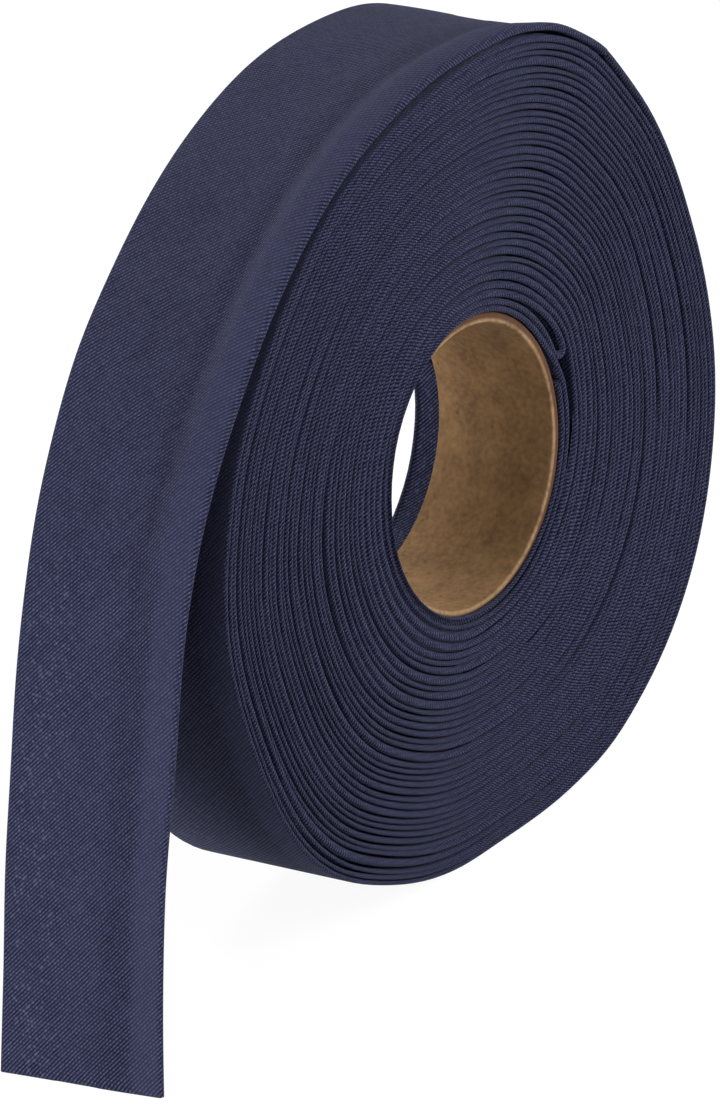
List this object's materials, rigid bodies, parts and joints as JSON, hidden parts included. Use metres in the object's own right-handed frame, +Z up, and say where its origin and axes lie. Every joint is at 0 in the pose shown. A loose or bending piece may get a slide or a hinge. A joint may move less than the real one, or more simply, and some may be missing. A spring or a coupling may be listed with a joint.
{
  "type": "roll of double-fold bias tape",
  "caption": "Roll of folded bias binding wound on a short cardboard tube, standing on its rim with the loose end hanging down one side.",
  "frame": {"origin": "middle of the small flat spot that the roll stands on, under the tube's axis and midway across the tape", "axes": "+Z up, +Y along the tube's axis from the roll's front face to its back face, +X across the roll away from the loose end"},
  "size_m": [0.121, 0.0218, 0.0938],
  "materials": {
    "tape": "matt plain weave cut on the bias, pressed folds at both edges, dark navy",
    "cardboard": "matt brown board, wound, with paler cut rims"
  },
  "bodies": {
    "root": {"core": "cardboard", "roll": "tape", "tail": "tape"}
  },
  "joints": []
}
